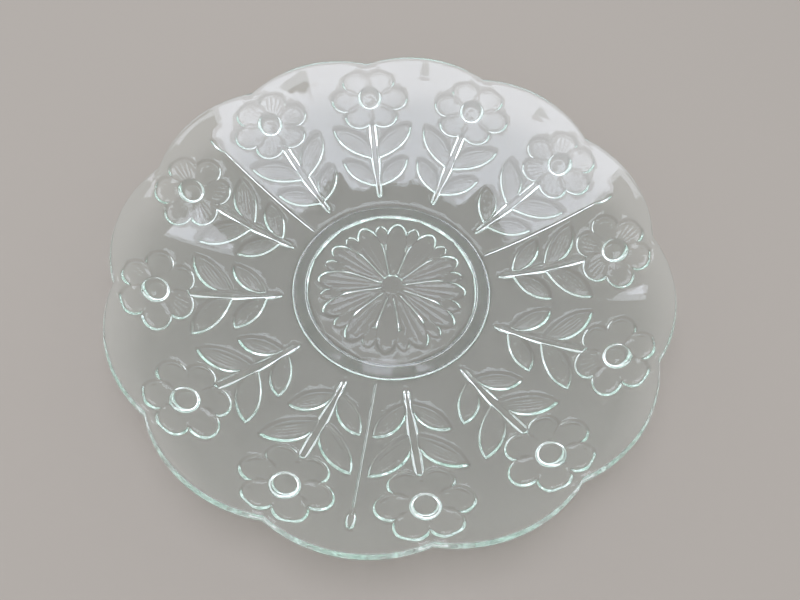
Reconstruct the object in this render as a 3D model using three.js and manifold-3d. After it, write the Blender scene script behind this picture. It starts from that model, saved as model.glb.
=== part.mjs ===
// Scalloped pressed-glass cake plate: one piece of clear glass on a low foot ring.
// Millimetres, +Z up. The origin is the centre of the foot ring's resting face, and a flower lies on +Y.
// The upper face is plain. Flowers, stems, leaves and mould seams stand out of the underside, and a rosette
// is sunk into the underside of the well.
import * as THREE from 'three';
import * as BufferGeometryUtils from 'three/addons/utils/BufferGeometryUtils.js';
import Module from 'manifold-3d';

const wasm = await Module();
wasm.setup();

// Plate
const PANELS = 12;
const NOTCH_RADIUS = 151.5;
const LOBE_RADIUS = 156.8;
const WALL = 4;
const RIM_HEIGHT_AT_NOTCH = 37.4;
const RIM_HEIGHT_AT_LOBE = 39.2;

// Dish: flat well, then twelve panels that are straight across and curve upwards along the radius
const WELL_TOP = 6.5;
const DISH_START = 58;
const RISE_LINEAR = 0.1;
const RISE_QUADRATIC = 0.00253;

// Facets: each rises from a chord across its lobe to the rim, and stays this wide at the notches
const LOBE_FACET_START = 144.7;
const FACET_GAP = 0.75;

// The rim's edge: an inclined face, this far in and this thick at the top, with small chamfered corners
const EDGE_SETBACK = 2.2;
const EDGE_THICKNESS = 4.8;
const EDGE_UNDERSIDE_SLOPE = 0.45;
const EDGE_CHAMFER = 0.35;

// Foot ring: each wall is an arc, given by its width and by its slope at the top and at the foot
const RING_OUTER = 60.5;
const RING_INNER = 50.5;
const OUTER_WALL = 2.6;
const OUTER_WALL_SLOPES = [15, 72].map(THREE.MathUtils.degToRad);
const INNER_WALL = 1.6;
const INNER_WALL_SLOPES = [75, 15].map(THREE.MathUtils.degToRad);

// Relief on the underside: how far each kind stands out, and how deep the rosette is sunk
const PAD_RELIEF = 1.5;
const STEM_RELIEF = 2;
const BUTTON_RELIEF = 4.2;
const SEAM_RELIEF = 0.6;
const DROP_RELIEF = 1.6;
const ROSETTE_DEPTH = 1.3;
const SECOND_TIP_DEPTH = 1;
const HUB_DEPTH = 1.8;

// Flower, placed by its distance from the axis
const FLOWER_RADIUS = 131;
const PETALS = 6;
const PETAL_OFFSET = 15.8;
const PETAL_RADIUS = 8.8;
const FLOWER_FORESHORTENING = 0.77;
const BUTTON_CENTRE = 132.6;
const BUTTON_RADIUS = 7.8;
const BUTTON_FORESHORTENING = 0.88;

// Stem: [distance from the axis, half width]
const STEM_OUTLINE = [[63, 0.7], [71, 1.3], [77, 1.5], [92, 2.4], [116.5, 1.9]];

// Leaves: the tip, then the two control points and the end of the upper and of the lower edge
const LEAVES = [
  {
    tip: [25.4, 113.7],
    upper: [[17, 115.2], [4.5, 111], [1.2, 99]],
    lower: [[24, 103], [13, 96.5], [1.2, 93]],
  },
  {
    tip: [20.8, 91.9],
    upper: [[13.5, 94.2], [4.2, 89.5], [1, 78]],
    lower: [[19, 82.5], [12, 76.6], [1, 74]],
  },
];

// Rosette in the well, turned a little against the flowers
const ROSETTE_TURN = THREE.MathUtils.degToRad(-12);
const ROSETTE_HUB = 7.2;
const ROSETTE_PETAL = [[1.4, 6], [4.3, 17], [6.7, 24], [6.7, 31], [6.7, 37.5], [3.4, 44], [0, 44]];
const ROSETTE_SECOND_TIP = [[0, 42.9], [1.7, 42.1], [3.5, 39.4], [3.6, 36], [2, 31], [0, 29]];

// Seams that the three parts of the mould left on every fourth crease; each ends in a small drop
const SEAMS = 3;
const FIRST_SEAM = THREE.MathUtils.degToRad(15);
const SEAM_WIDTH = 0.9;
const SEAM_START = 61;
const SEAM_END = 138;
const DROP_RADIUS = 140.5;
const DROP_HALF_LENGTH = 4.6;
const DROP_HALF_WIDTH = 2;

// Mesh fineness
const COLUMNS_PER_LOBE = 8;
const COLUMNS_PER_FLAT_PANEL = 2;
const DISH_ROWS = 5;
const DISH_END = 138;
const RELIEF_END = 150;
const CURVE_SEGMENTS = 4;
const WALL_STEPS = 3;
const EMBED = 1;
const PRISM_HEIGHT = 60;
const SAME_POINT = 1e-4;
const SIMPLIFY = 0.02;

const PANEL_ANGLE = (2 * Math.PI) / PANELS;
const HALF_PANEL = PANEL_ANGLE / 2;
const WELL_UNDERSIDE = WELL_TOP - WALL;

// Angle from the middle of the nearest panel, and from the nearest crease between two panels
const fromPanelMiddle = (angle) => angle - Math.round(angle / PANEL_ANGLE) * PANEL_ANGLE;
const fromCrease = (angle) => HALF_PANEL - Math.abs(fromPanelMiddle(angle));

// Height of the underside of the dish at a distance measured square to the panel
function undersideHeight(distance) {
  const run = Math.max(0, distance - DISH_START);
  return WELL_UNDERSIDE + RISE_LINEAR * run + RISE_QUADRATIC * run * run;
}

// The wall's vertical thickness grows with the slope, so that it stays WALL thick square to the surface
function verticalWall(distance) {
  const run = Math.max(0, distance - DISH_START);
  const slope = run > 0 ? RISE_LINEAR + 2 * RISE_QUADRATIC * run : 0;
  return WALL * Math.hypot(1, slope);
}

// Each lobe of the rim is an arc through two notches and the lobe's outermost point
function rimRadius(angle) {
  const halfChord = NOTCH_RADIUS * Math.sin(HALF_PANEL);
  const rise = LOBE_RADIUS - NOTCH_RADIUS * Math.cos(HALF_PANEL);
  const arcRadius = (halfChord * halfChord + rise * rise) / (2 * rise);
  const arcCentre = LOBE_RADIUS - arcRadius;
  const turn = fromCrease(angle);
  return arcCentre * Math.cos(turn) + Math.sqrt(arcRadius ** 2 - (arcCentre * Math.sin(turn)) ** 2);
}

// Near the rim each crease opens into a facet that reaches from notch to notch
function facetStartRadius(angle) {
  const turn = fromCrease(angle) / HALF_PANEL;
  const atNotch = NOTCH_RADIUS * Math.cos(HALF_PANEL);
  const chord = LOBE_FACET_START + (atNotch - LOBE_FACET_START) * turn * turn;
  return Math.min(chord / Math.cos(fromCrease(angle)), rimRadius(angle) - EDGE_SETBACK - FACET_GAP);
}

function rimHeight(angle) {
  const turn = fromCrease(angle) / HALF_PANEL;
  return RIM_HEIGHT_AT_LOBE + (RIM_HEIGHT_AT_NOTCH - RIM_HEIGHT_AT_LOBE) * turn * turn;
}

// Radii from the start of the dish outwards; each row runs straight across its panel
function dishRadii(angle, end) {
  const radii = [];
  for (let row = 0; row <= DISH_ROWS; row++) {
    const distance = DISH_START + ((end - DISH_START) * row) / DISH_ROWS;
    radii.push(distance / Math.cos(fromPanelMiddle(angle)));
  }
  return radii;
}

const squareDistance = (radius, angle) => radius * Math.cos(fromPanelMiddle(angle));

// A corner of a section cut back along both of its sides
function chamfered(before, corner, after) {
  const towards = ([x, y]) => {
    const length = Math.hypot(x - corner[0], y - corner[1]);
    const share = EDGE_CHAMFER / length;
    return [corner[0] + (x - corner[0]) * share, corner[1] + (y - corner[1]) * share];
  };
  return [towards(before), towards(after)];
}

// The rim's edge, from the facet that ends there over the inclined face to the underside
function rimEdge(angle, facet) {
  const outer = rimRadius(angle);
  const inner = outer - EDGE_SETBACK;
  const top = rimHeight(angle);
  const upperCorner = [inner, top];
  const underEdge = [inner, top - EDGE_THICKNESS];
  const lowerCorner = [outer, underEdge[1] + EDGE_SETBACK * EDGE_UNDERSIDE_SLOPE];
  return [
    ...chamfered(facet, upperCorner, lowerCorner),
    ...chamfered(upperCorner, lowerCorner, underEdge),
    underEdge,
  ];
}

// An arc down a wall of the foot ring, as shares of the wall's width and height
function wallArc([first, last]) {
  const points = [];
  for (let step = 0; step <= WALL_STEPS; step++) {
    const slope = first + ((last - first) * step) / WALL_STEPS;
    const inset = (Math.sin(slope) - Math.sin(first)) / (Math.sin(last) - Math.sin(first));
    const level = (Math.cos(slope) - Math.cos(last)) / (Math.cos(first) - Math.cos(last));
    points.push([inset, level]);
  }
  return points;
}

// The foot ring, from the underside of the dish down to its flat foot and up to the underside of the well
function footRing(angle) {
  const top = undersideHeight(squareDistance(RING_OUTER, angle));
  const outerWall = wallArc(OUTER_WALL_SLOPES).map(([inset, level]) => [
    RING_OUTER - OUTER_WALL * inset,
    top * level,
  ]);
  const innerWall = wallArc(INNER_WALL_SLOPES).map(([inset, level]) => [
    RING_INNER + INNER_WALL * inset,
    WELL_UNDERSIDE * level,
  ]);
  return [...outerWall, ...innerWall.reverse()];
}

// Section of the whole plate in one direction, from the axis above to the axis below
function plateSection(angle) {
  const radii = [...dishRadii(angle, DISH_END), facetStartRadius(angle)];
  const section = [[0, WELL_TOP]];
  for (const radius of radii) {
    const distance = squareDistance(radius, angle);
    section.push([radius, undersideHeight(distance) + verticalWall(distance)]);
  }
  section.push(...rimEdge(angle, section[section.length - 1]));
  const outsideRing = radii.filter((radius) => radius > RING_OUTER);
  for (const radius of outsideRing.reverse()) {
    section.push([radius, undersideHeight(squareDistance(radius, angle))]);
  }
  section.push(...footRing(angle));
  section.push([0, WELL_UNDERSIDE]);
  return section;
}

// Section of a layer that follows the underside, sits in the wall and stands out of it by the given relief
function reliefSection(angle, relief) {
  const radii = dishRadii(angle, RELIEF_END);
  const underside = (radius) => undersideHeight(squareDistance(radius, angle));
  const above = radii.map((radius) => [radius, underside(radius) + EMBED]);
  const below = radii.map((radius) => [radius, underside(radius) - relief]).reverse();
  return [[0, WELL_UNDERSIDE + EMBED], ...above, ...below, [0, WELL_UNDERSIDE - relief]];
}

// Closed solid from one section for each direction; every section starts and ends on the axis
function solidFromSections(sectionAt, columnsPerPanel) {
  const columns = PANELS * columnsPerPanel;
  const positions = [];
  let rows = 0;
  for (let column = 0; column < columns; column++) {
    const angle = (2 * Math.PI * column) / columns;
    const ring = sectionAt(angle).slice(1, -1);
    rows = ring.length;
    for (const [radius, height] of ring) {
      positions.push(radius * Math.cos(angle), radius * Math.sin(angle), height);
    }
  }
  const ends = sectionAt(0);
  const top = positions.length / 3;
  const bottom = top + 1;
  positions.push(0, 0, ends[0][1], 0, 0, ends[ends.length - 1][1]);
  const indices = [];
  for (let column = 0; column < columns; column++) {
    const here = column * rows;
    const next = ((column + 1) % columns) * rows;
    indices.push(top, here, next);
    for (let row = 0; row < rows - 1; row++) {
      indices.push(here + row, here + row + 1, next + row);
      indices.push(next + row, here + row + 1, next + row + 1);
    }
    indices.push(bottom, next + rows - 1, here + rows - 1);
  }
  const geometry = new THREE.BufferGeometry();
  geometry.setAttribute('position', new THREE.Float32BufferAttribute(positions, 3));
  geometry.setIndex(indices);
  return toManifold(geometry);
}

function toManifold(geometry) {
  geometry.deleteAttribute('normal');
  geometry.deleteAttribute('uv');
  const merged = BufferGeometryUtils.mergeVertices(geometry, SAME_POINT);
  const mesh = new wasm.Mesh({
    numProp: 3,
    vertProperties: new Float32Array(merged.attributes.position.array),
    triVerts: new Uint32Array(merged.index.array),
  });
  return new wasm.Manifold(mesh);
}

function toGeometry(manifold) {
  const mesh = manifold.getMesh();
  const geometry = new THREE.BufferGeometry();
  geometry.setAttribute('position', new THREE.BufferAttribute(new Float32Array(mesh.vertProperties), 3));
  geometry.setIndex(new THREE.BufferAttribute(new Uint32Array(mesh.triVerts), 1));
  const faceted = geometry.toNonIndexed();
  faceted.computeVertexNormals();
  return faceted;
}

// Upright prisms over an outline, repeated round the plate from the given angle against +Y
function prismsRoundPlate(shape, turn = 0, count = PANELS) {
  let all = null;
  for (let copy = 0; copy < count; copy++) {
    const prism = new THREE.ExtrudeGeometry(shape, {
      depth: PRISM_HEIGHT,
      bevelEnabled: false,
      curveSegments: CURVE_SEGMENTS,
    });
    prism.translate(0, 0, -EMBED);
    prism.rotateZ(turn + (2 * Math.PI * copy) / count);
    const solid = toManifold(prism);
    all = all ? all.add(solid) : solid;
  }
  return all;
}

// Outline of a flower: the outer arcs of a ring of overlapping round petals, squashed along the radius
function flowerOutline() {
  const halfStep = Math.PI / PETALS;
  const reach = Math.sqrt(PETAL_RADIUS ** 2 - (PETAL_OFFSET * Math.sin(halfStep)) ** 2);
  const notch = PETAL_OFFSET * Math.cos(halfStep) + reach;
  const sweep = Math.atan2(notch * Math.sin(halfStep), notch * Math.cos(halfStep) - PETAL_OFFSET);
  const shape = new THREE.Shape();
  for (let petal = 0; petal < PETALS; petal++) {
    const direction = 2 * halfStep * petal;
    const x = PETAL_OFFSET * Math.cos(direction);
    const y = FLOWER_RADIUS + PETAL_OFFSET * Math.sin(direction) * FLOWER_FORESHORTENING;
    const squashed = PETAL_RADIUS * FLOWER_FORESHORTENING;
    shape.absellipse(x, y, PETAL_RADIUS, squashed, direction - sweep, direction + sweep, false, 0);
  }
  return shape;
}

function ellipseOutline(centre, radius, squash) {
  const shape = new THREE.Shape();
  shape.absellipse(0, centre, radius, radius * squash, 0, 2 * Math.PI, false, 0);
  return shape;
}

function stemOutline() {
  const right = STEM_OUTLINE.map(([distance, half]) => new THREE.Vector2(half, distance));
  const left = STEM_OUTLINE.map(([distance, half]) => new THREE.Vector2(-half, distance)).reverse();
  return new THREE.Shape([...right, ...left]);
}

function leafOutline({ tip, upper, lower }, side) {
  const at = ([x, y]) => [side * x, y];
  const shape = new THREE.Shape();
  shape.moveTo(...at(tip));
  shape.bezierCurveTo(...at(upper[0]), ...at(upper[1]), ...at(upper[2]));
  shape.lineTo(...at(lower[2]));
  shape.bezierCurveTo(...at(lower[1]), ...at(lower[0]), ...at(tip));
  return shape;
}

function rosettePetalOutline() {
  const points = ROSETTE_PETAL;
  const mirror = ([x, y]) => [-x, y];
  const shape = new THREE.Shape();
  shape.moveTo(...points[0]);
  shape.bezierCurveTo(...points[1], ...points[2], ...points[3]);
  shape.bezierCurveTo(...points[4], ...points[5], ...points[6]);
  shape.bezierCurveTo(...mirror(points[5]), ...mirror(points[4]), ...mirror(points[3]));
  shape.bezierCurveTo(...mirror(points[2]), ...mirror(points[1]), ...mirror(points[0]));
  return shape;
}

function secondTipOutline() {
  const right = ROSETTE_SECOND_TIP.map(([x, y]) => new THREE.Vector2(x, y));
  const left = ROSETTE_SECOND_TIP.slice(1, -1).reverse().map(([x, y]) => new THREE.Vector2(-x, y));
  return new THREE.Shape([...right, ...left]);
}

function seamOutline() {
  const half = SEAM_WIDTH / 2;
  return new THREE.Shape([
    new THREE.Vector2(half, SEAM_START),
    new THREE.Vector2(half, SEAM_END),
    new THREE.Vector2(-half, SEAM_END),
    new THREE.Vector2(-half, SEAM_START),
  ]);
}

function dropOutline() {
  const shape = new THREE.Shape();
  shape.absellipse(0, DROP_RADIUS, DROP_HALF_WIDTH, DROP_HALF_LENGTH, 0, 2 * Math.PI, false, 0);
  return shape;
}

function hubPrism() {
  const prism = new THREE.CylinderGeometry(ROSETTE_HUB, ROSETTE_HUB, PRISM_HEIGHT, PANELS * 2);
  prism.rotateX(Math.PI / 2);
  return toManifold(prism);
}

function raisedRelief() {
  let pads = prismsRoundPlate(flowerOutline());
  for (const leaf of LEAVES) {
    pads = pads.add(prismsRoundPlate(leafOutline(leaf, 1)));
    pads = pads.add(prismsRoundPlate(leafOutline(leaf, -1)));
  }
  const seamTurn = FIRST_SEAM - Math.PI / 2;
  return [
    [pads, PAD_RELIEF],
    [prismsRoundPlate(stemOutline()), STEM_RELIEF],
    [prismsRoundPlate(ellipseOutline(BUTTON_CENTRE, BUTTON_RADIUS, BUTTON_FORESHORTENING)), BUTTON_RELIEF],
    [prismsRoundPlate(seamOutline(), seamTurn, SEAMS), SEAM_RELIEF],
    [prismsRoundPlate(dropOutline(), seamTurn, SEAMS), DROP_RELIEF],
  ];
}

function sunkRosette() {
  const petals = prismsRoundPlate(rosettePetalOutline(), ROSETTE_TURN);
  const secondTips = prismsRoundPlate(secondTipOutline(), ROSETTE_TURN + HALF_PANEL);
  const upTo = (prisms, depth) => prisms.trimByPlane([0, 0, -1], -(WELL_UNDERSIDE + depth));
  const tipsAndHub = upTo(secondTips, SECOND_TIP_DEPTH).add(upTo(hubPrism(), HUB_DEPTH));
  return upTo(petals, ROSETTE_DEPTH).add(tipsAndHub);
}

function cakePlate() {
  let plate = solidFromSections(plateSection, COLUMNS_PER_LOBE);
  for (const [prisms, relief] of raisedRelief()) {
    const layer = solidFromSections((angle) => reliefSection(angle, relief), COLUMNS_PER_FLAT_PANEL);
    plate = plate.add(layer.intersect(prisms));
  }
  plate = plate.subtract(sunkRosette());
  return toGeometry(plate.simplify(SIMPLIFY));
}

const clearGlass = new THREE.MeshStandardMaterial({
  name: 'clear_glass',
  color: 0xe3efe8,
  roughness: 0.04,
  metalness: 0,
  transparent: true,
  opacity: 0.35,
});

const cakePlateMesh = new THREE.Mesh(cakePlate(), clearGlass);
cakePlateMesh.name = 'cake_plate';

const model = new THREE.Group();
model.add(cakePlateMesh);

export default model;
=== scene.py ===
import math

import bpy
import bmesh
import numpy as np
from mathutils import Matrix, Vector, kdtree
from mathutils.geometry import delaunay_2d_cdt


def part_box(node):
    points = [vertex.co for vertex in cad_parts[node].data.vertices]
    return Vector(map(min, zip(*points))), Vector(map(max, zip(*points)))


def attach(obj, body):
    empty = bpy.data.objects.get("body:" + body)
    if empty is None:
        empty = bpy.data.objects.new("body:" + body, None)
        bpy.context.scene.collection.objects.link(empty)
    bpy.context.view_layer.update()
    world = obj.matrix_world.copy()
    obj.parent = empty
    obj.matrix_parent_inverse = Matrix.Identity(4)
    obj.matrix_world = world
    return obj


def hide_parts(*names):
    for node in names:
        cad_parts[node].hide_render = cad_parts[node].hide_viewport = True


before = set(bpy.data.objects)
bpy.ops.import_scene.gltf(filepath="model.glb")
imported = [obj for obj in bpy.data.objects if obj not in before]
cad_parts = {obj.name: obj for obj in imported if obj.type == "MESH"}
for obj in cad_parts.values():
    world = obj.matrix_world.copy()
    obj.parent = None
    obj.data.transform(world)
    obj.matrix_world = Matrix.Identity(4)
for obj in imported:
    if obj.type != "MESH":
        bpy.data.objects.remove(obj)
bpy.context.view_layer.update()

# Plate
PANELS = 12
NOTCH_RADIUS = 151.5
LOBE_RADIUS = 156.8
WALL = 4.0
RIM_HEIGHT_AT_NOTCH = 37.4
RIM_HEIGHT_AT_LOBE = 39.2

# The rim's edge: an inclined face between two rounded corners, this far in and this thick at the top
EDGE_SETBACK = 2.2
EDGE_THICKNESS = 4.8
EDGE_UNDERSIDE_SLOPE = 0.45
EDGE_ROUNDING = 0.7

# Dish: flat well, then panels that are straight across and curve upwards along the radius
WELL_TOP = 6.5
DISH_START = 58.0
RISE_LINEAR = 0.10
RISE_QUADRATIC = 0.00253
LOBE_FACET_START = 144.7
CREASE_FILLET = 1.2

# Foot ring: each wall is an arc, given by its width and by its slope at the top and at the foot. The
# resting face has a narrow row at both edges, which keeps it flat. The outer wall is a little uneven: it
# follows a sum of waves, each with so many crests round the ring.
RING_OUTER = 60.5
RING_INNER = 50.5
OUTER_WALL = 2.6
OUTER_WALL_SLOPES = (math.radians(15), math.radians(72))
INNER_WALL = 1.6
INNER_WALL_SLOPES = (math.radians(75), math.radians(15))
WALL_STEPS = 9
FOOT_EDGE = 0.2
RING_UNEVENNESS = 0.03
RING_WAVES = (17, 29, 41)

# Relief on the panels: how far each kind stands out of the underside, and how wide its shoulder is.
# A shoulder's slope has rounded ends, by this share of the relief's height.
PAD_RELIEF = 1.5
STEM_RELIEF = 2.0
BUTTON_RELIEF = 4.2
SHOULDER = 2.0
STEM_SHOULDER = 1.5
SHOULDER_ROUNDING = 0.035

# The relief fades out over this distance before the facets at the rim
FACET_FADE = 1.0

# Fine veins on the leaves and in the rosette
VEIN_RELIEF = 0.3
VEIN_WIDTH = 0.45

# Petals and leaves are dished: this deep, starting so far inside the outline, over so much width
DISHING = 0.4
DISHING_START = 1.2
DISHING_WIDTH = 2.2

# Seams that the three parts of the mould left, each on a crease and with a small drop beyond its end
SEAMS = 3
FIRST_SEAM = math.radians(15)
SEAM_RELIEF = 0.6
SEAM_HALF_WIDTH = 0.45
SEAM_SHOULDER = 0.65
SEAM_START_FADE = 1.5
SEAM_END = 138.0
SEAM_END_FADE = 3.0
DROP_RELIEF = 1.6
DROP_RADIUS = 139.8
DROP_HALF_LENGTH = 4.4
DROP_HALF_WIDTH = 2.0
DROP_SHOULDER = 1.6

# Flower: round petals about a centre on +Y, with the whole figure squashed along the plate's radius
FLOWER_RADIUS = 131.0
PETALS = 6
PETAL_OFFSET = 15.8
PETAL_RADIUS = 8.8
FLOWER_SQUASH = 0.77

# Grooves between the petals, and fine lines that spread over each petal from the button. A line lies at
# this many degrees from the petal's middle, and is shorter by so much for each degree.
PETAL_GROOVE = 0.35
PETAL_GROOVE_WIDTH = 0.7
PETAL_GROOVE_REACH = (9.0, 18.5)
PETAL_GROOVE_POINTS = 8
PETAL_LINE_RELIEF = 0.15
PETAL_LINE_SPREAD = (-18, -9, 0, 9, 18)
PETAL_LINE_REACH = (11.5, 20.5)
PETAL_LINE_SHORTENING = 0.08
PETAL_LINE_POINTS = 7

# Button: a round dome over the flower's middle, with a flat top and a dimple
BUTTON_CENTRE = 132.6
BUTTON_RADIUS = 7.8
BUTTON_SQUASH = 0.88
BUTTON_EDGE_SLOPE = math.radians(68)
BUTTON_ROUNDING = 6.0
BUTTON_DIMPLE = 0.6
BUTTON_DIMPLE_RADIUS = 2.6

# Stem: distance from the axis and half width
STEM_OUTLINE = [(63, 0.7), (71, 1.3), (77, 1.5), (92, 2.4), (116.5, 1.9)]
STEM_FADE = (63.0, 70.0)

# Leaves: the tip, then the two control points and the end of the upper and of the lower edge
LEAVES = [
    {"tip": (25.4, 113.7),
     "upper": [(17, 115.2), (4.5, 111), (1.2, 99)],
     "lower": [(24, 103), (13, 96.5), (1.2, 93)]},
    {"tip": (20.8, 91.9),
     "upper": [(13.5, 94.2), (4.2, 89.5), (1, 78)],
     "lower": [(19, 82.5), (12, 76.6), (1, 74)]},
]

# A leaf's veins lie at these shares of its width, and stop so many steps short of its tip and of the stem
LEAF_STEPS = 40
LEAF_VEINS = (0.2, 0.36, 0.5, 0.64, 0.8)
VEIN_GAP_AT_TIP = 6
VEIN_GAP_AT_STEM = 3

# Rosette, sunk into the underside of the well and turned a little against the flowers
ROSETTE_TURN = math.radians(-12)
ROSETTE_DEPTH = 1.3
SECOND_TIP_DEPTH = 1.0
HUB_DEPTH = 1.8
ROSETTE_SHOULDER = 1.6
SECOND_TIP_SHOULDER = 1.1
ROSETTE_HUB = 7.2

# Right half of a rosette petal, as the points of two cubic curves, and of a second tip, as corners
ROSETTE_PETAL = [(1.4, 6.0), (4.3, 17.0), (6.7, 24.0), (6.7, 31.0), (6.7, 37.5), (3.4, 44.0), (0.0, 44.0)]
ROSETTE_SECOND_TIP = [(0.0, 42.9), (1.7, 42.1), (3.5, 39.4), (3.6, 36.0), (2.0, 31.0), (0.0, 29.0)]
ROSETTE_PETAL_STEPS = (16, 20)
ROSETTE_VEIN_REACH = (14.0, 38.0)
ROSETTE_VEIN_SPREAD = 0.065
ROSETTE_VEIN_POINTS = 18

# Mesh points along outlines, and across the shoulders beside them
ALONG_OUTLINE = 1.35
FLOWER_STEPS = 240
CIRCLE_STEPS = 72
CONTOUR_TOLERANCE = 0.15
SHOULDER_SHARES = (-0.5, -0.25, 0.0, 0.25, 0.5)
DISHING_SHARES = (0.25, 0.6, 1.0)
BUTTON_DEPTHS = (-0.35, 0, 0.3, 0.6, 1.0, 1.45, 1.9, 2.35, 2.7, 3.0, 3.6, 4.8, 6.4)

# Mesh points between the outlines of one panel
COLUMNS_PER_PANEL = 40
FILL_SPACING = 3.0
FILL_ROW_SPACING = FILL_SPACING * 0.87
CLEAR_OF_OUTLINE = 1.0
LEAST_SPACING = 0.24
BORDER_MARGIN = 0.2
PANEL_SIDE_POINTS = 60
ROSETTE_SIDE_POINTS = 36
BESIDE_CREASE = (0.25, 0.5, 0.75, 1.2, 1.7, 2.3, 2.9)
SAME_POINT = 1e-5

# The output type of delaunay_2d_cdt that keeps only the triangles inside the border
INSIDE_BORDER = 1

# Rows of the mesh round the plate. The dish's rows are round near the well, and towards the rim they
# follow the facets: by the row's share of the way, to this power.
WELL_ROWS = (6, 22, 40, 52, 57.5)
DISH_ROWS = 34
FIRST_DISH_ROW = 58.5
ROUND_ROWS_REACH = 144.0
ROW_FOLLOWING = 6
CORNER_ROWS = 6
FACET_GAP = 0.75
FACET_SHARES = (0.0, 0.08, 0.3, 0.55, 0.8, 1.0)
MERGE = 0.002

# Glass: its tint at the surface and in depth, its polish, and how its resting face is ground. The ground
# look fades out between these two heights, in metres.
GLASS_TINT = (0.975, 1.0, 0.988, 1)
GLASS_INDEX = 1.52
DEPTH_TINT = (0.68, 0.92, 0.8, 1)
DEPTH_DENSITY = 6.0
POLISH_ROUGHNESS = 0.05
GROUND_ROUGHNESS = 0.95
GROUND_FADE = (0.00005, 0.00015)

# Softbox: its middle, seen from the camera's side, and its size, in metres
SOFTBOX_PLACE = (-0.11, 0.08, 1.6)
SOFTBOX_SIZE = (1.36, 1.04)
SOFTBOX_RADIANCE = 3.8
SOFTBOX_COLOUR = (0.84, 0.87, 1.0)

# Floor, in metres: it lies just under the resting face, so that the two faces stay apart
FLOOR_HALF = 20.0
FLOOR_LEVEL = -0.0003

# Camera: where it stands about the plate, with lengths in millimetres like the plate's
CAMERA_AZIMUTH = math.radians(-11.75)
CAMERA_ELEVATION = math.radians(62.27)
CAMERA_DISTANCE = 385.6
CAMERA_ROLL = math.radians(5.30)
CAMERA_TARGET = (5.6, -6.75)
SENSOR_WIDTH = 36
FOCAL_SHARE = 0.80525

# Worked out from the measures above
PANEL_ANGLE = 2 * math.pi / PANELS
HALF_PANEL = PANEL_ANGLE / 2
COLUMNS = PANELS * COLUMNS_PER_PANEL
WELL_UNDERSIDE = WELL_TOP - WALL


# ---- The plate's form ----

def from_crease(angle):
    """Angle to the nearest crease between two panels."""
    from_middle = angle - np.round(angle / PANEL_ANGLE) * PANEL_ANGLE
    return HALF_PANEL - np.abs(from_middle)


def square_distance(radius, angle):
    """Distance from the axis square to the panel, with the creases slightly filleted."""
    fillet = CREASE_FILLET / np.maximum(radius, 1.0)
    turn = np.sqrt(from_crease(angle) ** 2 + fillet ** 2)
    return radius * np.cos(HALF_PANEL - turn)


def dish_run(distance):
    """How far a place lies beyond the flat well."""
    return np.maximum(0.0, distance - DISH_START)


def underside_height(distance):
    """Height of the dish's underside, without its relief."""
    run = dish_run(distance)
    return WELL_UNDERSIDE + RISE_LINEAR * run + RISE_QUADRATIC * run * run


def vertical_wall(distance):
    """The wall's thickness measured upright, which grows with the slope."""
    run = dish_run(distance)
    slope = np.where(run > 0, RISE_LINEAR + 2 * RISE_QUADRATIC * run, 0.0)
    return WALL * np.hypot(1.0, slope)


def rim_radius(angle):
    """Each lobe of the rim is an arc through two notches and the lobe's outermost point."""
    half_chord = NOTCH_RADIUS * math.sin(HALF_PANEL)
    rise = LOBE_RADIUS - NOTCH_RADIUS * math.cos(HALF_PANEL)
    arc_radius = (half_chord ** 2 + rise ** 2) / (2 * rise)
    arc_centre = LOBE_RADIUS - arc_radius
    turn = from_crease(angle)
    return arc_centre * np.cos(turn) + np.sqrt(arc_radius ** 2 - (arc_centre * np.sin(turn)) ** 2)


def millimetre():
    """One millimetre of the measures above, in metres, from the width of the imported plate."""
    low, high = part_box("cake_plate")
    first_panel = np.radians(np.arange(0, 31, 0.5))
    half_width = max(float(rim_radius(angle)) * math.cos(angle) for angle in first_panel)
    return (high.x - low.x) / (2 * half_width)


METRES = millimetre()


def edge_start(angle):
    """Radius at which the faces of the dish end and the rim's edge begins."""
    return rim_radius(angle) - EDGE_SETBACK


def facet_start(angle):
    """Near the rim each crease opens into a facet that reaches from notch to notch."""
    turn = from_crease(angle) / HALF_PANEL
    at_notch = NOTCH_RADIUS * math.cos(HALF_PANEL)
    chord = LOBE_FACET_START + (at_notch - LOBE_FACET_START) * turn ** 2
    return np.minimum(chord / np.cos(from_crease(angle)), edge_start(angle) - FACET_GAP)


def rim_height(angle):
    """Height of the rim's upper corner, which dips from each lobe to the notches beside it."""
    turn = from_crease(angle) / HALF_PANEL
    return RIM_HEIGHT_AT_LOBE + (RIM_HEIGHT_AT_NOTCH - RIM_HEIGHT_AT_LOBE) * turn ** 2


def surface_height(radius, angle, upper):
    """Height of the plain upper or lower face of the dish, out to where the rim's edge begins."""
    start, end = facet_start(angle), edge_start(angle)
    distance = square_distance(np.minimum(radius, start), angle)
    dish = underside_height(distance) + (vertical_wall(distance) if upper else 0.0)
    rim = rim_height(angle) - (0.0 if upper else EDGE_THICKNESS)
    share = np.clip((radius - start) / (end - start), 0.0, 1.0)
    return dish + (rim - dish) * share


# ---- Outlines of the relief, in the plane of the plate ----

def bezier(points, steps):
    """Points on a cubic curve, without its last one."""
    start, first, second, end = (np.array(p, float) for p in points)
    t = np.linspace(0, 1, steps, endpoint=False)[:, None]
    return (1 - t) ** 3 * start + 3 * (1 - t) ** 2 * t * first + 3 * (1 - t) * t ** 2 * second + t ** 3 * end


def leaf_edges(leaf, side):
    """The upper and the lower edge of a leaf, each from its tip to the stem."""
    mirror = np.array([side, 1.0])
    upper = bezier([leaf["tip"], *leaf["upper"]], LEAF_STEPS)
    lower = bezier([leaf["tip"], *leaf["lower"]], LEAF_STEPS)
    return upper * mirror, lower * mirror


def leaf_outline(leaf, side):
    upper, lower = leaf_edges(leaf, side)
    return np.vstack([upper, lower[::-1]])


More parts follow.
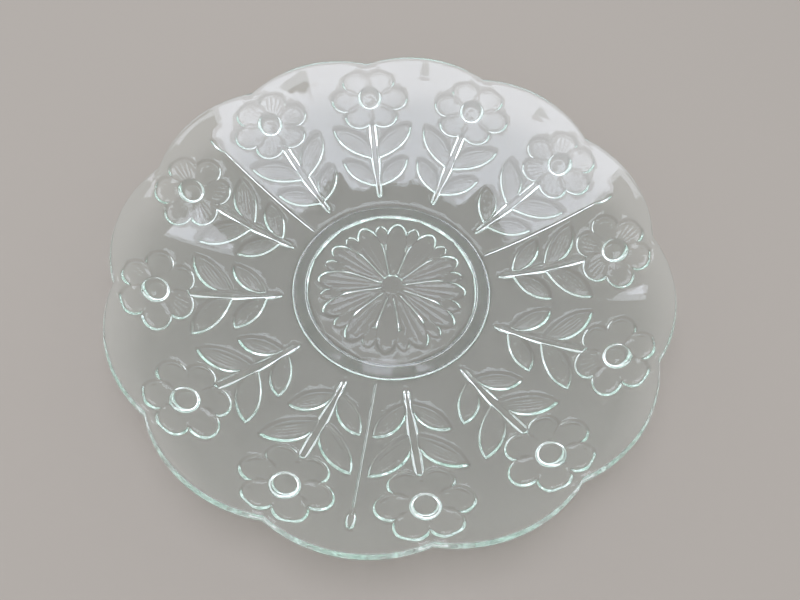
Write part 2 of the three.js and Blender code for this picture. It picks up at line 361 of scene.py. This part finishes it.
def mirrored(half):
    """A closed outline from its right half, whose ends may lie on the line of symmetry."""
    left = [(-x, y) for x, y in reversed(half) if x > 0]
    return np.array([*half, *left], float)


def stem_outline():
    return mirrored([(half, distance) for distance, half in STEM_OUTLINE])


def rosette_petal_outline():
    curves = (ROSETTE_PETAL[:4], ROSETTE_PETAL[3:])
    side = np.vstack([bezier(curve, steps) for curve, steps in zip(curves, ROSETTE_PETAL_STEPS)])
    return mirrored([*side, ROSETTE_PETAL[-1]])


def second_tip_outline():
    return mirrored(ROSETTE_SECOND_TIP)


def resample(outline, spacing, closed=True):
    """The outline again, with even steps along it."""
    ends = np.vstack([outline, outline[:1]]) if closed else outline
    lengths = np.hypot(*np.diff(ends, axis=0).T)
    along = np.concatenate([[0.0], np.cumsum(lengths)])
    count = max(4, int(round(along[-1] / spacing)))
    at = np.linspace(0, along[-1], count, endpoint=not closed)
    return np.stack([np.interp(at, along, ends[:, i]) for i in (0, 1)], axis=1)


def distance_to_line(points, line, closed):
    """Distance from each point to a line of straight stretches."""
    starts = line if closed else line[:-1]
    ends = np.roll(line, -1, axis=0) if closed else line[1:]
    best = np.full(len(points), np.inf)
    for start, end in zip(starts, ends):
        run = end - start
        share = np.clip((points - start) @ run / max(run @ run, 1e-12), 0, 1)
        gap = points - start - share[:, None] * run
        best = np.minimum(best, np.hypot(gap[:, 0], gap[:, 1]))
    return best


def depth_inside(points, outline):
    """Distance to a closed outline, positive inside it."""
    x, y = points[:, 0], points[:, 1]
    inside = np.zeros(len(points), bool)
    for (x0, y0), (x1, y1) in zip(outline, np.roll(outline, -1, axis=0)):
        if y0 == y1:
            continue
        crosses = (y0 > y) != (y1 > y)
        inside ^= crosses & (x < (x1 - x0) * (y - y0) / (y1 - y0) + x0)
    distance = distance_to_line(points, outline, closed=True)
    return np.where(inside, distance, -distance)


def to_local(points, centre, squash):
    """The plane seen round a centre on +Y, with the squashing along the plate's radius undone."""
    return (points - (0, centre)) / (1, squash)


def to_plane(local, centre, squash):
    """The way back from to_local."""
    return local * (1, squash) + (0, centre)


def flower_depth(local):
    """Depth inside the flower: a ring of round petals about a disc, in the flower's own plane."""
    half_step = math.pi / PETALS
    reach = math.sqrt(PETAL_RADIUS ** 2 - (PETAL_OFFSET * math.sin(half_step)) ** 2)
    disc = PETAL_OFFSET * math.cos(half_step) + reach
    depth = disc - np.hypot(local[:, 0], local[:, 1])
    for petal in range(PETALS):
        centre = PETAL_OFFSET * unit_vector(2 * math.pi * petal / PETALS)
        depth = np.maximum(depth, PETAL_RADIUS - np.hypot(*(local - centre).T))
    return depth


def unit_vector(angle):
    return np.array([math.cos(angle), math.sin(angle)])


def smooth(share):
    """A rise from 0 to 1 with level ends."""
    t = np.clip(share, 0, 1)
    return t * t * (3 - 2 * t)


def shoulder(depth, width):
    """0 outside an outline and 1 inside it: a slope of the given width with rounded ends."""
    t = np.clip(depth / width + 0.5, 0, 1)
    return t - SHOULDER_ROUNDING * np.sin(2 * math.pi * t)


def ridge(points, line, width):
    """1 on a line, falling off to 0 beside it."""
    return np.exp(-(distance_to_line(points, line, closed=False) / width) ** 2)


def dished_pad(depth):
    """A pad with a rounded edge and a slightly hollow middle."""
    hollow = DISHING * smooth((depth - DISHING_START) / DISHING_WIDTH)
    return PAD_RELIEF * shoulder(depth, SHOULDER) - hollow


# ---- Relief: how far the glass stands out of the underside ----

def leaf_veins(leaf, side):
    """Lines that run along the leaf, from near its tip to near the stem."""
    upper, lower = leaf_edges(leaf, side)
    lines = []
    for share in LEAF_VEINS:
        line = lower + (upper - lower) * share
        line = line[VEIN_GAP_AT_TIP:-VEIN_GAP_AT_STEM]
        lines.append(resample(line, ALONG_OUTLINE, closed=False))
    return lines


def petal_lines():
    """Fine lines on the petals, spreading from the button, in the flower's own plane."""
    start, end = PETAL_LINE_REACH
    lines = []
    for petal in range(PETALS):
        for spread in PETAL_LINE_SPREAD:
            direction = unit_vector(2 * math.pi * petal / PETALS + math.radians(spread))
            last = end - abs(spread) * PETAL_LINE_SHORTENING
            reach = np.linspace(start, last, PETAL_LINE_POINTS)[:, None]
            lines.append(reach * direction)
    return lines


def petal_grooves():
    """The grooves between neighbouring petals, in the flower's own plane."""
    reach = np.linspace(*PETAL_GROOVE_REACH, PETAL_GROOVE_POINTS)[:, None]
    grooves = []
    for petal in range(PETALS):
        direction = unit_vector(2 * math.pi * (petal + 0.5) / PETALS)
        grooves.append(reach * direction)
    return grooves


def flower_relief(points):
    local = to_local(points, FLOWER_RADIUS, FLOWER_SQUASH)
    depth = flower_depth(local)
    relief = dished_pad(depth)
    for line in petal_lines():
        relief = relief + PETAL_LINE_RELIEF * ridge(local, line, VEIN_WIDTH)
    for groove in petal_grooves():
        relief = relief - PETAL_GROOVE * ridge(local, groove, PETAL_GROOVE_WIDTH) * (depth > 0)
    return relief


def leaf_relief(points, leaf, side):
    depth = depth_inside(points, leaf_outline(leaf, side))
    inner = shoulder(depth - SHOULDER, SHOULDER)
    relief = dished_pad(depth)
    for line in leaf_veins(leaf, side):
        relief = relief + VEIN_RELIEF * ridge(points, line, VEIN_WIDTH) * inner
    return relief


def button_relief(points):
    """A dome that is flat on top, with a dimple in the middle; it stands on the petals' hollow."""
    local = to_local(points, BUTTON_CENTRE, BUTTON_SQUASH)
    reach = np.hypot(local[:, 0], local[:, 1])
    run = reach - BUTTON_RADIUS + BUTTON_ROUNDING * math.sin(BUTTON_EDGE_SLOPE)
    run = np.clip(run, 0, BUTTON_ROUNDING)
    dome = np.sqrt(BUTTON_ROUNDING ** 2 - run ** 2) - BUTTON_ROUNDING * math.cos(BUTTON_EDGE_SLOPE)
    dimple = BUTTON_DIMPLE * np.exp(-(reach / BUTTON_DIMPLE_RADIUS) ** 2)
    petals = PAD_RELIEF - DISHING
    return (np.minimum(petals + dome, BUTTON_RELIEF) - dimple) * (dome > 0)


def panel_relief(points):
    """The relief of a panel whose flower lies on +Y."""
    relief = flower_relief(points)
    for leaf in LEAVES:
        for side in (1, -1):
            relief = np.maximum(relief, leaf_relief(points, leaf, side))
    radius, angle = np.hypot(*points.T), np.arctan2(points[:, 1], points[:, 0])
    stem = STEM_RELIEF * shoulder(depth_inside(points, stem_outline()), STEM_SHOULDER)
    stem = stem * smooth((radius - STEM_FADE[0]) / (STEM_FADE[1] - STEM_FADE[0]))
    relief = np.maximum(np.maximum(relief, stem), button_relief(points))
    return relief * smooth((facet_start(angle) - radius) / FACET_FADE)


def seam_relief(points):
    """The mould seams, anywhere on the plate."""
    radius, angle = np.hypot(*points.T), np.arctan2(points[:, 1], points[:, 0])
    step = 2 * math.pi / SEAMS
    turn = (angle - FIRST_SEAM + step / 2) % step - step / 2
    aside = radius * np.sin(turn)
    line = SEAM_RELIEF * shoulder(SEAM_HALF_WIDTH - np.abs(aside), SEAM_SHOULDER)
    line = line * smooth((SEAM_END - radius) / SEAM_END_FADE)
    reach = np.hypot(aside / DROP_HALF_WIDTH, (radius - DROP_RADIUS) / DROP_HALF_LENGTH)
    drop = DROP_RELIEF * shoulder((1 - reach) * DROP_HALF_WIDTH, DROP_SHOULDER)
    after_ring = smooth((radius - RING_OUTER) / SEAM_START_FADE)
    before_facet = smooth((facet_start(angle) - radius) / FACET_FADE)
    clear = after_ring * before_facet
    return np.maximum(line, drop) * (np.abs(turn) < HALF_PANEL) * clear


def rosette_veins():
    """Two lines along each rosette petal."""
    distance = np.linspace(*ROSETTE_VEIN_REACH, ROSETTE_VEIN_POINTS)
    return [np.stack([side * ROSETTE_VEIN_SPREAD * distance, distance], axis=1) for side in (1, -1)]


def rosette_sinking(points):
    """How deep the rosette is sunk, in a sector with a petal on +Y and half a second tip on each side."""
    petal_depth = depth_inside(points, rosette_petal_outline())
    sunk = ROSETTE_DEPTH * shoulder(petal_depth, ROSETTE_SHOULDER)
    inner = shoulder(petal_depth - ROSETTE_SHOULDER, ROSETTE_SHOULDER)
    for line in rosette_veins():
        sunk = sunk - VEIN_RELIEF * ridge(points, line, VEIN_WIDTH) * inner
    for side in (1, -1):
        petal = turned(rosette_petal_outline(), 2 * side * HALF_PANEL)
        sunk = np.maximum(sunk, ROSETTE_DEPTH * shoulder(depth_inside(points, petal), ROSETTE_SHOULDER))
        tip = turned(second_tip_outline(), side * HALF_PANEL)
        sunk = np.maximum(sunk, SECOND_TIP_DEPTH * shoulder(depth_inside(points, tip), SECOND_TIP_SHOULDER))
    hub_depth = ROSETTE_HUB - np.hypot(points[:, 0], points[:, 1])
    return np.maximum(sunk, HUB_DEPTH * shoulder(hub_depth, ROSETTE_SHOULDER))


def turned(points, angle):
    cosine, sine = math.cos(angle), math.sin(angle)
    return points @ np.array([[cosine, sine], [-sine, cosine]])


# ---- Mesh points that follow the relief ----

def contours(outline, depths):
    """Points along an outline at each of the given depths inside it; a negative depth lies outside."""
    line = resample(outline, ALONG_OUTLINE)
    following = np.roll(line, -1, axis=0)
    area = np.sum(line[:, 0] * following[:, 1] - following[:, 0] * line[:, 1])
    step = following - np.roll(line, 1, axis=0)
    inward = np.stack([-step[:, 1], step[:, 0]], axis=1) / np.hypot(*step.T)[:, None] * np.sign(area)
    rings = []
    for depth in depths:
        ring = line + inward * depth
        off = np.abs(depth_inside(ring, outline) - depth)
        rings.append(ring[off < CONTOUR_TOLERANCE])
    return np.vstack(rings)


def across_shoulder(width):
    return [share * width for share in SHOULDER_SHARES]


def across_dished_edge():
    return across_shoulder(SHOULDER) + [DISHING_START + DISHING_WIDTH * share for share in DISHING_SHARES]


def flower_outline():
    """The flower's edge: the outer arcs of its petals, in the flower's own plane."""
    angles = np.linspace(0, 2 * math.pi, FLOWER_STEPS, endpoint=False)
    turn = angles - np.round(angles * PETALS / (2 * math.pi)) * 2 * math.pi / PETALS
    reach = PETAL_OFFSET * np.cos(turn) + np.sqrt(PETAL_RADIUS ** 2 - (PETAL_OFFSET * np.sin(turn)) ** 2)
    return np.stack([reach * np.cos(angles), reach * np.sin(angles)], axis=1)


def circle_outline(radius):
    angles = np.linspace(0, 2 * math.pi, CIRCLE_STEPS, endpoint=False)
    return np.stack([radius * np.cos(angles), radius * np.sin(angles)], axis=1)


def beside(line, width):
    """Points on a fine line and to both sides of it."""
    step = np.gradient(line, axis=0)
    normal = np.stack([step[:, 1], -step[:, 0]], axis=1) / np.hypot(*step.T)[:, None]
    return np.vstack([line + normal * width * share for share in (-1, 0, 1)])


def panel_points():
    """Mesh points that follow a panel's relief."""
    flower = [contours(flower_outline(), across_dished_edge())]
    flower += [beside(groove, PETAL_GROOVE_WIDTH) for groove in petal_grooves()]
    flower += [beside(line, VEIN_WIDTH) for line in petal_lines()]
    button = contours(circle_outline(BUTTON_RADIUS), BUTTON_DEPTHS)
    sets = [
        to_plane(button, BUTTON_CENTRE, BUTTON_SQUASH),
        contours(stem_outline(), across_shoulder(STEM_SHOULDER)),
        to_plane(np.vstack(flower), FLOWER_RADIUS, FLOWER_SQUASH),
    ]
    for leaf in LEAVES:
        for side in (1, -1):
            sets.append(contours(leaf_outline(leaf, side), across_dished_edge()))
            sets.extend(beside(line, VEIN_WIDTH) for line in leaf_veins(leaf, side))
    return np.vstack(sets)


def rosette_points():
    """Mesh points that follow the rosette's relief in one sector."""
    depths = across_shoulder(ROSETTE_SHOULDER)
    sets = [contours(rosette_petal_outline(), depths), contours(circle_outline(ROSETTE_HUB), depths)]
    for side in (1, -1):
        sets.append(contours(turned(second_tip_outline(), side * HALF_PANEL), depths))
    sets.extend(beside(line, VEIN_WIDTH) for line in rosette_veins())
    return np.vstack(sets)


def thin_out(points):
    """Drops each point that lies too close to one kept before it."""
    seen, kept = {}, []
    for point in points:
        cell = (int(point[0] // LEAST_SPACING), int(point[1] // LEAST_SPACING))
        near = (seen.get((cell[0] + i, cell[1] + j)) for i in (-1, 0, 1) for j in (-1, 0, 1))
        if any(other is not None and np.hypot(*(other - point)) < LEAST_SPACING for other in near):
            continue
        seen[cell] = point
        kept.append(point)
    return np.array(kept)


def fill_points(features, border, reach):
    """Even points in a triangle pattern, clear of the points on the relief and on the border."""
    rows = np.arange(0, reach + FILL_SPACING, FILL_ROW_SPACING)
    across = np.arange(-reach / 2, reach / 2, FILL_SPACING)
    fill = np.array([(x + FILL_SPACING / 2 * (i % 2), y) for i, y in enumerate(rows) for x in across])
    tree = kdtree.KDTree(len(features) + len(border))
    for index, point in enumerate(np.vstack([features, border])):
        tree.insert((point[0], point[1], 0), index)
    tree.balance()
    clear = [tree.find((x, y, 0))[2] > CLEAR_OF_OUTLINE for x, y in fill]
    return fill[clear]


def beside_creases(sides):
    """Rows of points at a few distances inside the straight sides of a panel's sector."""
    rows = []
    for offset in BESIDE_CREASE:
        for side in sides:
            across = -math.copysign(offset, side[0, 0]) * math.cos(HALF_PANEL)
            rows.append(side + (across, offset * math.sin(HALF_PANEL)))
    return rows


def sector_mesh(features, inner, outer, side_points):
    """Triangles over one panel's sector round +Y, as flat points and faces.

    inner and outer give the radius of the two curved sides at an angle from the middle. Both straight
    sides get the same number of points, side_points with their ends, so that turned copies of the
    sector meet.
    """
    angles = HALF_PANEL * np.linspace(-1, 1, COLUMNS_PER_PANEL + 1)
    rim = np.array([(math.sin(a) * outer(a), math.cos(a) * outer(a)) for a in angles])
    hub = np.array([(math.sin(a) * inner(a), math.cos(a) * inner(a)) for a in angles[::-1]])
    side_radii = np.linspace(inner(HALF_PANEL), outer(HALF_PANEL), side_points)[1:-1]
    right = np.stack([math.sin(HALF_PANEL) * side_radii, math.cos(HALF_PANEL) * side_radii], axis=1)
    left = right * (-1, 1)
    reaches_axis = inner(0.0) == 0
    border = np.vstack([rim, right[::-1], hub[:1] if reaches_axis else hub, left])
    candidates = [features] if reaches_axis else [features, *beside_creases((right, left))]
    candidates.append(fill_points(features, border, outer(HALF_PANEL)))
    inside = thin_out(np.vstack(candidates))
    radius, angle = np.hypot(*inside.T), np.arctan2(inside[:, 0], inside[:, 1])
    keep = (np.abs(angle) < HALF_PANEL) & (radius * np.sin(HALF_PANEL - np.abs(angle)) > BORDER_MARGIN)
    keep &= radius > np.array([inner(a) for a in angle]) + BORDER_MARGIN
    keep &= radius < np.array([outer(a) for a in angle]) - BORDER_MARGIN
    points = np.vstack([border, inside[keep]])
    loop = [(i, (i + 1) % len(border)) for i in range(len(border))]
    flat, _, faces, _, _, _ = delaunay_2d_cdt(
        [Vector(p) for p in points], loop, [], INSIDE_BORDER, SAME_POINT)
    return np.array([tuple(p) for p in flat]), np.array(faces)


# ---- Assembling the solid ----

class Shell:
    """Collects vertices and faces of the plate's surface."""

    def __init__(self):
        self.vertices, self.faces, self.count = [], [], 0

    def add(self, vertices, faces):
        self.vertices.append(vertices)
        self.faces.extend((np.array(face) + self.count).tolist() for face in faces)
        self.count += len(vertices)

    def add_round(self, flat, faces, height, turn=0.0):
        """Adds a sector PANELS times round the axis; its middle starts on +Y, turned by the given angle."""
        for panel in range(PANELS):
            spun = turned(flat, turn + panel * PANEL_ANGLE)
            self.add(np.column_stack([spun, height - seam_relief(spun)]), faces)

    def add_band(self, rows):
        """Joins rows of one point for each column; each row is an array of vertices all round."""
        count = len(rows[0])
        here = np.arange(count)
        following = (here + 1) % count
        quads = []
        for row in range(len(rows) - 1):
            low, high = row * count, (row + 1) * count
            quads.extend(zip(low + here, high + here, high + following, low + following))
        self.add(np.vstack(rows), quads)


def column_angles():
    """The angle of each of the mesh's columns round the plate."""
    return 2 * math.pi * np.arange(COLUMNS) / COLUMNS


def ring_of(radii, heights):
    """One vertex for each column, at the given radius and height."""
    angles = column_angles()
    radii, heights = np.broadcast_to(radii, COLUMNS), np.broadcast_to(heights, COLUMNS)
    return np.stack([radii * np.cos(angles), radii * np.sin(angles), heights], axis=1)


def upper_face(shell):
    """The plain upper face, from the axis to the rim's edge."""
    angles = column_angles()
    start, end = facet_start(angles), edge_start(angles) - EDGE_ROUNDING
    rows = [ring_of(radius, WELL_TOP) for radius in WELL_ROWS]
    for share in np.linspace(0, 1, DISH_ROWS):
        radii = FIRST_DISH_ROW + (ROUND_ROWS_REACH - FIRST_DISH_ROW) * share
        radii = radii + (start - ROUND_ROWS_REACH) * share ** ROW_FOLLOWING
        rows.append(ring_of(radii, surface_height(radii, angles, True)))
    for share in FACET_SHARES:
        radii = start + (end - start) * share
        rows.append(ring_of(radii, surface_height(radii, angles, True)))
    shell.add_band(rows[::-1])
    centre = np.vstack([rows[0], [[0, 0, WELL_TOP]]])
    shell.add(centre, [(COLUMNS, i, (i + 1) % COLUMNS) for i in range(COLUMNS)])


def rounded_corner(before, corner, after):
    """Rows along a curve that leaves one point, turns at a corner and ends at another point."""
    rows = []
    for t in np.linspace(0, 1, CORNER_ROWS):
        radii, heights = [(1 - t) ** 2 * a + 2 * (1 - t) * t * b + t ** 2 * c
                          for a, b, c in zip(before, corner, after)]
        rows.append(ring_of(radii, heights))
    return rows


def rim_edge(shell):
    """The rim's edge, from the upper face round its inclined outer face to the underside."""
    angles = column_angles()
    rim, top = rim_radius(angles), rim_height(angles)
    upper_corner = (rim - EDGE_SETBACK, top)
    lower_corner = (rim, top - EDGE_THICKNESS + EDGE_SETBACK * EDGE_UNDERSIDE_SLOPE)
    face = [b - a for a, b in zip(upper_corner, lower_corner)]
    step = EDGE_ROUNDING / np.hypot(*face)
    before = rim - EDGE_SETBACK - EDGE_ROUNDING
    underneath = rim - EDGE_ROUNDING
    rows = rounded_corner(
        (before, surface_height(before, angles, True)),
        upper_corner,
        [a + step * run for a, run in zip(upper_corner, face)])
    rows += rounded_corner(
        [a - step * run for a, run in zip(lower_corner, face)],
        lower_corner,
        (underneath, lower_corner[1] - EDGE_ROUNDING * EDGE_UNDERSIDE_SLOPE))
    rows.append(ring_of(upper_corner[0], top - EDGE_THICKNESS))
    shell.add_band(rows[::-1])


def lower_facets(shell):
    """The underside of the lobe facets, between the panels and the rim's edge."""
    angles = column_angles()
    start, end = facet_start(angles), edge_start(angles)
    rows = []
    for share in FACET_SHARES:
        radii = start + (end - start) * share
        rows.append(ring_of(radii, surface_height(radii, angles, False)))
    shell.add_band(rows)


def wall_arc(slopes):
    """An arc down a wall of the foot ring, as shares of the wall's width and height."""
    first, last = slopes
    slope = np.linspace(first, last, WALL_STEPS)
    inset = (np.sin(slope) - math.sin(first)) / (math.sin(last) - math.sin(first))
    level = (np.cos(slope) - math.cos(last)) / (math.cos(first) - math.cos(last))
    return list(zip(inset, level))


def foot_ring(shell):
    """The foot ring, from the panels' underside down to its resting face and up to the well's underside."""
    angles = column_angles()
    uneven = RING_UNEVENNESS * sum(np.cos(waves * angles + waves) for waves in RING_WAVES)
    top = surface_height(RING_OUTER, angles, False)
    rows = [ring_of(RING_OUTER - OUTER_WALL * inset + uneven * (0 < level < 1), top * level)
            for inset, level in wall_arc(OUTER_WALL_SLOPES)]
    rows.append(ring_of(RING_OUTER - OUTER_WALL - FOOT_EDGE, 0.0))
    rows.append(ring_of(RING_INNER + INNER_WALL + FOOT_EDGE, 0.0))
    rows += [ring_of(RING_INNER + INNER_WALL * inset, WELL_UNDERSIDE * level)
             for inset, level in reversed(wall_arc(INNER_WALL_SLOPES))]
    shell.add_band(rows[::-1])


def build_plate():
    """The whole plate, as one closed mesh."""
    shell = Shell()
    upper_face(shell)
    rim_edge(shell)
    lower_facets(shell)
    foot_ring(shell)

    panel, faces = sector_mesh(
        panel_points(), lambda angle: RING_OUTER, lambda angle: float(facet_start(angle)), PANEL_SIDE_POINTS)
    radius, angle = np.hypot(*panel.T), np.arctan2(panel[:, 1], panel[:, 0])
    steepness = vertical_wall(square_distance(radius, angle)) / WALL
    height = surface_height(radius, angle, False) - panel_relief(panel) * steepness
    shell.add_round(panel, faces[:, ::-1], height)

    rosette, faces = sector_mesh(
        rosette_points(), lambda angle: 0.0, lambda angle: RING_INNER, ROSETTE_SIDE_POINTS)
    height = WELL_UNDERSIDE + rosette_sinking(rosette)
    shell.add_round(rosette, faces[:, ::-1], height, ROSETTE_TURN)

    mesh = bpy.data.meshes.new("pressed_glass")
    mesh.from_pydata((np.vstack(shell.vertices) * METRES).tolist(), [], shell.faces)
    joined = bmesh.new()
    joined.from_mesh(mesh)
    bmesh.ops.remove_doubles(joined, verts=joined.verts, dist=MERGE * METRES)
    bmesh.ops.recalc_face_normals(joined, faces=joined.faces)
    joined.to_mesh(mesh)
    joined.free()
    mesh.shade_smooth()
    plate = bpy.data.objects.new("pressed_glass_plate", mesh)
    bpy.context.scene.collection.objects.link(plate)
    return plate


# ---- Materials ----

def clear_glass():
    """Clear pressed glass: a trace of green in its depth, a soft wave, and a ground resting face."""
    material = bpy.data.materials.new("clear_pressed_glass")
    material.use_nodes = True
    nodes, links = material.node_tree.nodes, material.node_tree.links
    shader = nodes["Principled BSDF"]
    shader.inputs["Base Color"].default_value = GLASS_TINT
    shader.inputs["IOR"].default_value = GLASS_INDEX
    shader.inputs["Transmission Weight"].default_value = 1.0

    place = nodes.new("ShaderNodeTexCoord")
    polish = nodes.new("ShaderNodeTexNoise")
    polish.inputs["Scale"].default_value = 70
    polish.inputs["Detail"].default_value = 3
    links.new(place.outputs["Object"], polish.inputs["Vector"])
    uneven_polish = nodes.new("ShaderNodeMath")
    uneven_polish.operation = "MULTIPLY"
    uneven_polish.inputs[1].default_value = POLISH_ROUGHNESS
    links.new(polish.outputs["Fac"], uneven_polish.inputs[0])

    height = nodes.new("ShaderNodeSeparateXYZ")
    links.new(place.outputs["Object"], height.inputs["Vector"])
    ground = nodes.new("ShaderNodeMapRange")
    ground.inputs["From Min"].default_value = GROUND_FADE[0]
    ground.inputs["From Max"].default_value = GROUND_FADE[1]
    ground.inputs["To Min"].default_value = GROUND_ROUGHNESS
    ground.inputs["To Max"].default_value = 0.0
    links.new(height.outputs["Z"], ground.inputs["Value"])
    roughness = nodes.new("ShaderNodeMath")
    roughness.operation = "MAXIMUM"
    links.new(uneven_polish.outputs["Value"], roughness.inputs[0])
    links.new(ground.outputs["Result"], roughness.inputs[1])
    links.new(roughness.outputs["Value"], shader.inputs["Roughness"])

    wave = nodes.new("ShaderNodeTexNoise")
    wave.inputs["Scale"].default_value = 45
    wave.inputs["Detail"].default_value = 2
    links.new(place.outputs["Object"], wave.inputs["Vector"])
    bump = nodes.new("ShaderNodeBump")
    bump.inputs["Strength"].default_value = 0.12
    bump.inputs["Distance"].default_value = 0.001
    links.new(wave.outputs["Fac"], bump.inputs["Height"])
    links.new(bump.outputs["Normal"], shader.inputs["Normal"])

    depth = nodes.new("ShaderNodeVolumeAbsorption")
    depth.inputs["Color"].default_value = DEPTH_TINT
    depth.inputs["Density"].default_value = DEPTH_DENSITY
    links.new(depth.outputs["Volume"], nodes["Material Output"].inputs["Volume"])
    return material


def plain_floor():
    material = bpy.data.materials.new("pale_floor")
    material.use_nodes = True
    shader = material.node_tree.nodes["Principled BSDF"]
    shader.inputs["Base Color"].default_value = (0.31, 0.275, 0.24, 1)
    shader.inputs["Roughness"].default_value = 0.8
    return material


# ---- Stage ----

def add_floor():
    mesh = bpy.data.meshes.new("floor")
    signs = ((-1, -1), (1, -1), (1, 1), (-1, 1))
    corners = [(x * FLOOR_HALF, y * FLOOR_HALF, FLOOR_LEVEL) for x, y in signs]
    mesh.from_pydata(corners, [], [(0, 1, 2, 3)])
    floor = bpy.data.objects.new("floor", mesh)
    bpy.context.scene.collection.objects.link(floor)
    floor.data.materials.append(plain_floor())


def add_softbox():
    """A wide soft light above the plate, which faces straight down and is turned with the camera."""
    data = bpy.data.lights.new("softbox", "AREA")
    data.shape = "RECTANGLE"
    data.size, data.size_y = SOFTBOX_SIZE
    data.energy = SOFTBOX_RADIANCE * data.size * data.size_y * math.pi
    data.color = SOFTBOX_COLOUR
    light = bpy.data.objects.new("softbox", data)
    light.location = Matrix.Rotation(CAMERA_AZIMUTH, 3, "Z") @ Vector(SOFTBOX_PLACE)
    light.rotation_euler = (0, 0, CAMERA_AZIMUTH)
    bpy.context.scene.collection.objects.link(light)


def add_world():
    world = bpy.data.worlds.new("studio")
    world.use_nodes = True
    background = world.node_tree.nodes["Background"]
    background.inputs["Color"].default_value = (0.93, 0.97, 1.0, 1)
    background.inputs["Strength"].default_value = 1.0
    bpy.context.scene.world = world


def add_camera():
    data = bpy.data.cameras.new("camera")
    data.sensor_width = SENSOR_WIDTH
    data.lens = SENSOR_WIDTH * FOCAL_SHARE
    data.clip_start = 0.01
    camera = bpy.data.objects.new("camera", data)
    azimuth, elevation = CAMERA_AZIMUTH, CAMERA_ELEVATION
    across = Vector((math.cos(azimuth), math.sin(azimuth), 0))
    away = Vector((-math.sin(azimuth), math.cos(azimuth), 0))
    target = (across * CAMERA_TARGET[0] + away * CAMERA_TARGET[1]) * METRES
    back = Vector((
        math.sin(azimuth) * math.cos(elevation),
        -math.cos(azimuth) * math.cos(elevation),
        math.sin(elevation)))
    camera.location = target + back * CAMERA_DISTANCE * METRES
    turn = back.to_track_quat("Z", "Y").to_matrix().to_4x4() @ Matrix.Rotation(CAMERA_ROLL, 4, "Z")
    camera.rotation_euler = turn.to_euler()
    bpy.context.scene.collection.objects.link(camera)
    bpy.context.scene.camera = camera


add_camera()
add_floor()
add_world()
add_softbox()

plate = build_plate()
plate.data.materials.append(clear_glass())
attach(plate, "root")
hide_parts("cake_plate")

bpy.context.scene.view_settings.view_transform = "Standard"

# Light passes many glass faces here before it leaves the plate
cycles = bpy.context.scene.cycles
cycles.max_bounces = 40
cycles.transmission_bounces = 32
cycles.glossy_bounces = 32
